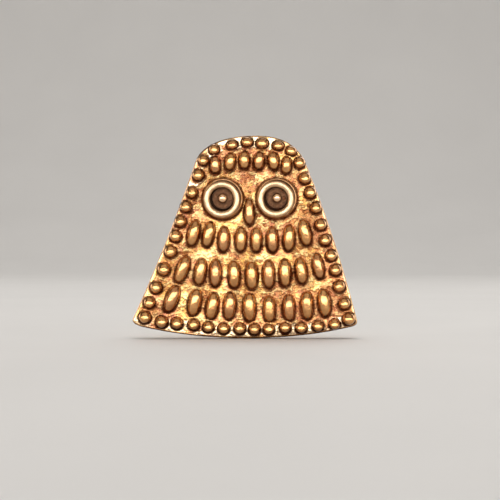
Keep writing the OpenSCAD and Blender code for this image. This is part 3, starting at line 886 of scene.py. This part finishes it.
def build_grains():
    tones = [grain_material("grain_bronze", WARM_BRONZE, BRONZE),
             grain_material("grain_bronze_red", RED_BRONZE, DEEP_RED_BRONZE)]
    for i, (name, seat) in enumerate(sorted(ovals.items())):
        verts, faces, patina_and_shade = dome(seat, OVAL_SEED + 7 * i)
        tone = tones[i % 3 == 0]
        make_piece(f"{name}_cast", verts, faces, tone, [name], {"patina_and_shade": patina_and_shade})
    for g, (name, seats) in enumerate(rounds.items()):
        verts, faces, patina_and_shade, start = [], [], [], 0
        for i, seat in enumerate(seats):
            points, parts, film = dome(seat, ROUND_SEED + 61 * g + 5 * i, **EDGE_GRAIN)
            verts.append(points)
            faces += [tuple(start + k for k in face) for face in parts]
            patina_and_shade.append(film)
            start += len(points)
        make_piece(f"{name}_cast", np.vstack(verts), faces, tones[0], [name],
                   {"patina_and_shade": np.concatenate(patina_and_shade)})


# ------------------------------ eyes
def lathe(profile, centre, segments, seed, uneven):
    """A turned shape from (radius, height) points, a little out of true.

    It comes with its radii, its heights and its places in the noise.
    """
    profile = np.array(profile)
    theta = np.linspace(0, 2 * math.pi, segments, endpoint=False)
    r = np.repeat(profile[:, 0], segments)
    h = np.repeat(profile[:, 1], segments)
    t = np.tile(theta, len(profile))
    at = np.stack([r * np.cos(t), r * np.sin(t), h], axis=1) + 23.0 * (seed % 31)
    free = smooth_step(0.05, 0.3, h)
    r = r + uneven * free * layered_noise(at, 1.6, 2, seed)
    h = h + 0.7 * uneven * free * (layered_noise(at, 1.1, 3, seed + 5) - 0.3)
    verts = np.stack([centre["x"] + r * np.cos(t), FACE_Y - h, centre["z"] + r * np.sin(t)], axis=1)
    return verts, r, h, at


def smooth_profile(points, per=5):
    """Points on a smooth line through the given ones."""
    fine = resample(np.array(points, float), per * (len(points) - 1))
    return [tuple(p) for p in fine]


def build_ring(side, seed, material):
    """An eye's stepped collar, and the worn ring on it."""
    eye = eyes[side]
    outer, top = eye["half_w"], eye["top"]
    collar = [(outer - 0.02, -0.08), (outer, 0.10), (outer - 0.01, 0.30), (outer - 0.07, 0.48),
              (outer - 0.18, 0.60), (outer - 0.30, 0.65), (outer - 0.39, 0.65)]
    ring = [(outer - 0.40, 0.80), (outer - 0.41, 1.02), (outer - 0.46, top - 0.32),
            (outer - 0.57, top - 0.15), (outer - 0.78, top - 0.03), (outer - 1.05, top),
            (outer - 1.32, top - 0.06), (outer - 1.53, top - 0.21), (outer - 1.67, top - 0.46),
            (outer - 1.76, 0.62), (outer - 1.80, 0.30), (outer - 1.80, 0.06)]
    profile = smooth_profile(collar + ring)
    verts, r, h, at = lathe(profile, eye, RING_SEGMENTS, seed, 0.05)
    slip = smooth_step(0.62, 0.80, h) * (r < outer - 0.3)
    verts[:, 0] += RING_SLIP[0] * slip
    verts[:, 2] += RING_SLIP[1] * slip
    # painted shade on the collar and the ring's lower wall
    shade = np.clip(fade_out(0.62, 1.05, h) * (0.85 + 0.3 * layered_noise(at, 0.9, 2, 9)), 0, 1)
    # painted shade on the cup's inner wall, at the collar's foot and in the groove
    recess_shade = fade_out(outer - 1.78, outer - 1.46, r) * fade_out(0.75, 1.3, h)
    recess_shade = recess_shade + fade_out(0.0, 0.22, h) * (r > outer - 0.3)
    groove = np.exp(-((r - outer + 0.41) / 0.06) ** 2) * fade_out(0.75, 1.0, h)
    recess_shade = np.clip(np.maximum(recess_shade, 0.8 * groove), 0, 1)
    faces = [tuple(face) for face in grid_faces(len(profile), RING_SEGMENTS)]
    faces += closing_faces(len(profile) - 1, RING_SEGMENTS)
    make_piece(f"{side}_eye_ring_cast", verts, faces, material, [f"{side}_eye_ring"],
               {"patina_and_shade": shade, "recess_shade": recess_shade})


def build_disc(side, seed, material):
    """The dark sunken disc inside an eye's ring, raised a little in the middle and at its edge."""
    low, high = node_box(f"{side}_eye_disc")
    reach, thick = (high[0] - low[0]) / 2, high[1] - low[1]
    dish = [(0.0001, thick + 0.10), (0.5, thick + 0.09), (0.95, thick + 0.03), (1.3, thick - 0.02),
            (reach - 0.45, thick), (reach - 0.18, thick + 0.05), (reach - 0.03, thick + 0.02),
            (reach - 0.01, thick - 0.12), (reach - 0.01, -0.05), (0.0001, -0.05)]
    profile = smooth_profile(dish, 6)
    verts, r, _, _ = lathe(profile, eyes[side], DISC_SEGMENTS, seed, 0.03)
    # painted shade at the disc's rim by the ring's inner wall, and round the foot of the ball
    shade = np.clip(smooth_step(reach - 0.45, reach, r) * 0.8 + fade_out(0.85, 1.25, r) * 0.6, 0, 1)
    faces = grid_faces(len(profile), DISC_SEGMENTS)
    make_piece(f"{side}_eye_disc_cast", verts, faces, material, [f"{side}_eye_disc"],
               {"patina_and_shade": shade})


def build_pupil(side, seed, lean, shift, material):
    """The small polished ball, a little off the middle of its disc."""
    low, high = node_box(f"{side}_pupil")
    half = (high[0] - low[0]) / 2
    ball = {"x": eyes[side]["x"] + shift[0], "z": eyes[side]["z"] + shift[1],
            "half_w": half, "half_l": half, "lean": lean, "top": FACE_Y - low[1]}
    verts, faces, _ = dome(ball, seed, **PUPIL)
    # painted shade on the ball's lower part, where it meets the disc
    patina_and_shade = fade_out(0.45, 0.80, FACE_Y - verts[:, 1])
    make_piece(f"{side}_pupil_cast", verts, faces, material, [f"{side}_pupil"],
               {"patina_and_shade": patina_and_shade})


def build_eyes():
    ring_shader, disc_shader = ring_material(), disc_material()
    ball_shader = grain_material("pupil_bronze", PUPIL_BRIGHT, PUPIL_DULL, 0.16, 0.28)
    for i, side in enumerate(SIDES):
        build_ring(side, RING_SEED + 40 * i, ring_shader)
        build_disc(side, DISC_SEED + 40 * i, disc_shader)
        build_pupil(side, PUPIL_SEED + i, 0.3 * i, PUPIL_SHIFT[i], ball_shader)


# ------------------------------ findings on the back
def dress_finding(node, material, bevel_mm, segments):
    """Keeps the CAD shape, joins its corners, rounds its edges and gives it a metal finish."""
    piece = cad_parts[node]
    piece.data.materials.clear()
    piece.data.materials.append(material)
    weld = piece.modifiers.new("join", "WELD")
    weld.merge_threshold = WELD
    edge = piece.modifiers.new("soft_edge", "BEVEL")
    edge.width = bevel_mm * MM
    edge.segments = segments
    edge.limit_method = "ANGLE"
    edge.angle_limit = math.radians(35)
    edge.harden_normals = False
    piece.data.polygons.foreach_set("use_smooth", [True] * len(piece.data.polygons))


def solder_bead(name, node, material, seed, rings=8):
    """A run of solder drawn up round a soldered foot."""
    low, high = (corner[[0, 2]] for corner in node_box(node))
    middle, half = (low + high) / 2, (high - low) / 2
    theta = np.linspace(0, 2 * math.pi, BEAD_SEGMENTS, endpoint=False)
    edge = np.stack([np.cos(theta), np.sin(theta)], axis=1)
    # the foot's outline, a square with slightly rounded corners
    edge = edge / (np.abs(edge) ** 9).sum(axis=1)[:, None] ** (1 / 9) * half
    out = edge / np.linalg.norm(edge, axis=1)[:, None]
    around = np.c_[edge * 0.9, np.full(BEAD_SEGMENTS, seed)]
    spread = BEAD_REACH + 0.22 * layered_noise(around, 1.2, 3, seed)
    verts = []
    for i in range(rings):
        t = i / (rings - 1)
        level = BEAD_HEIGHT * (1 - t) ** 2.2 - 0.03 * (t == 1)
        ring = middle + edge - 0.06 * out + out * (0.06 + spread * t)[:, None]
        lumps = layered_noise(np.c_[ring, np.full(BEAD_SEGMENTS, t)], 0.5, 2, seed + 1) * (0 < t < 1)
        verts.append(np.c_[ring[:, 0], np.full(BEAD_SEGMENTS, level) + 0.03 * lumps, ring[:, 1]])
    inner = verts[0].copy()
    inner[:, 1] = -0.03
    verts.append(inner)
    faces = [tuple(face) for face in grid_faces(rings + 1, BEAD_SEGMENTS)]
    faces += closing_faces(rings, BEAD_SEGMENTS)
    make_piece(name, np.vstack(verts), faces, material, [])


def build_findings():
    brass = finding_material("finding_brass", BRASS, BRASS_BROWN, 0.24, 0.40)
    steel = finding_material("pin_nickel", NICKEL, NICKEL_GREY, 0.18, 0.34)
    # node, metal, rounding of its edges in mm, and segments of that
    for dressing in (("hinge_bracket", brass, 0.10, 3), ("catch_tube", brass, 0.08, 3),
                     ("catch_sleeve", brass, 0.05, 2), ("hinge_rivet", steel, 0.08, 3),
                     ("pin_stem", steel, 0.05, 2)):
        dress_finding(*dressing)
    solder = solder_material()
    solder_bead("hinge_solder", "hinge_bracket", solder, 21)
    solder_bead("catch_solder", "catch_tube", solder, 22)


# ------------------------------ stage, light and camera
# the cove, m
HALF_WIDTH, FRONT, BACK, HEIGHT = 1.15, -0.55, 0.60, 1.1
CORNER, BEND = 0.45, 0.35    # radii between the walls, and from the floor up
FORECOURT = 4.0              # bare floor in front of it and past its sides
BEND_STEPS = 13
GAP = 0.00002                # between the owl's foot and the floor

# Lights for the metal only: name, place in m, width, height, watts, and shape unless a rectangle.
METAL_LIGHTS = (
    ("front_panel", (0.0, -0.75, 0.05), 1.2, 0.50, 0.70, "ELLIPSE"),
    ("front_glow", (0.0, -0.62, 0.078), 1.5, 0.29, 5.8, "ELLIPSE"),
    ("overhead", (0.0, -0.50, 0.70), 1.2, 0.80, 1.7),
    ("left_strip", (-0.62, -0.36, 0.05), 0.6, 0.20, 0.35),
    ("right_strip", (0.62, -0.36, 0.05), 0.6, 0.20, 0.25),
    ("left_rim", (-0.60, 0.20, 0.05), 0.5, 0.60, 1.6),
    ("right_rim", (0.60, 0.20, 0.05), 0.5, 0.60, 1.0),
    ("back_panel", (0.25, 0.45, 0.32), 0.8, 0.30, 1.6),
)
ROOM_STRENGTH = 0.13

# camera, m
VIEW_WIDTH = 0.0969          # across the view, level with the owl's foremost point
DISTANCE = 0.24
AIM_RIGHT, AIM_DOWN = 0.0010, 0.00255
SENSOR = 36.0                # mm


def stage_material():
    s = Shader("pale_floor")
    s.main.inputs["Specular IOR Level"].default_value = 0.2
    shade = tuple(c * 0.97 for c in PALE_FLOOR)
    base = s.mix(s.span(s.noise(60, 3), 0.3, 0.7), PALE_FLOOR, shade)
    rough = s.span(s.noise(25, 3), 0.3, 0.7, 0.75, 0.9)
    return s.finish(base, rough)


def build_stage():
    """A pale floor under the owl's foot, swept up into a wall behind it and at both sides."""
    floor_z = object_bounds()[0].z - GAP
    turns = np.linspace(0, math.pi / 2, BEND_STEPS)
    # the floor's edge from front left to front right: x, y and the way out of the cove
    path = [(-HALF_WIDTH, FRONT, -1, 0)]
    path += [(CORNER - HALF_WIDTH - CORNER * math.cos(t), BACK - CORNER + CORNER * math.sin(t),
              -math.cos(t), math.sin(t)) for t in turns]
    path += [(-x, y, -nx, ny) for x, y, nx, ny in reversed(path)]
    rise = [(BEND * math.sin(t), BEND * (1 - math.cos(t))) for t in turns] + [(BEND, HEIGHT)]
    verts = [(x + nx * out, y + ny * out, floor_z + up) for x, y, nx, ny in path for out, up in rise]
    faces = grid_faces(len(path), len(rise), closed=False).tolist()
    verts += [(side * (HALF_WIDTH + FORECOURT), FRONT - FORECOURT, floor_z) for side in (1, -1)]
    faces.append([k * len(rise) for k in range(len(path))] + [len(verts) - 2, len(verts) - 1])
    mesh = bpy.data.meshes.new("cove")
    mesh.from_pydata(verts, [], faces)
    mesh.polygons.foreach_set("use_smooth", [len(face) == 4 for face in faces])
    mesh.materials.append(stage_material())
    cove = bpy.data.objects.new("cove", mesh)
    bpy.context.scene.collection.objects.link(cove)


def soft_light(name, at, width, height, watts, shape="RECTANGLE", colour=(1.0, 1.0, 1.0)):
    """An area light that aims at the middle of the owl."""
    data = bpy.data.lights.new(name, "AREA")
    data.shape = shape
    data.size, data.size_y = width, height
    data.energy = watts
    data.color = colour
    lamp = bpy.data.objects.new(name, data)
    lamp.location = at
    lamp.rotation_euler = (-Vector(at)).to_track_quat("-Z", "Z").to_euler()
    bpy.context.scene.collection.objects.link(lamp)
    return lamp


def build_light():
    """A dim warm room, soft lights for the metal alone, and a wash for the floor."""
    world = bpy.data.worlds.new("room")
    world.use_nodes = True
    sky = world.node_tree.nodes["Background"]
    sky.inputs["Color"].default_value = (*ROOM_GLOW, 1)
    sky.inputs["Strength"].default_value = ROOM_STRENGTH
    bpy.context.scene.world = world
    for row in METAL_LIGHTS:
        lamp = soft_light(*row, colour=LAMP_WARM)
        lamp.visible_diffuse = False          # so they leave no long shadows on the floor
    wash = soft_light("floor_wash", (0.0, 0.05, 1.0), 1.3, 1.1, 11.0)
    wash.visible_glossy = False


def build_camera():
    """Square on to the face, aimed a little to the right of the owl's middle and below it."""
    low, high = CAD_BOX
    data = bpy.data.cameras.new("camera")
    data.sensor_width = SENSOR
    data.lens = SENSOR / 2 / (VIEW_WIDTH / 2 / DISTANCE)
    data.clip_start = 0.01
    camera = bpy.data.objects.new("camera", data)
    camera.location = ((low.x + high.x) / 2 + AIM_RIGHT, low.y - DISTANCE, (low.z + high.z) / 2 - AIM_DOWN)
    camera.rotation_euler = (math.pi / 2, 0, 0)
    bpy.context.scene.collection.objects.link(camera)
    bpy.context.scene.camera = camera


build_plate()
build_grains()
build_eyes()
build_findings()
build_stage()
build_light()
build_camera()
bpy.context.scene.view_settings.view_transform = "Standard"
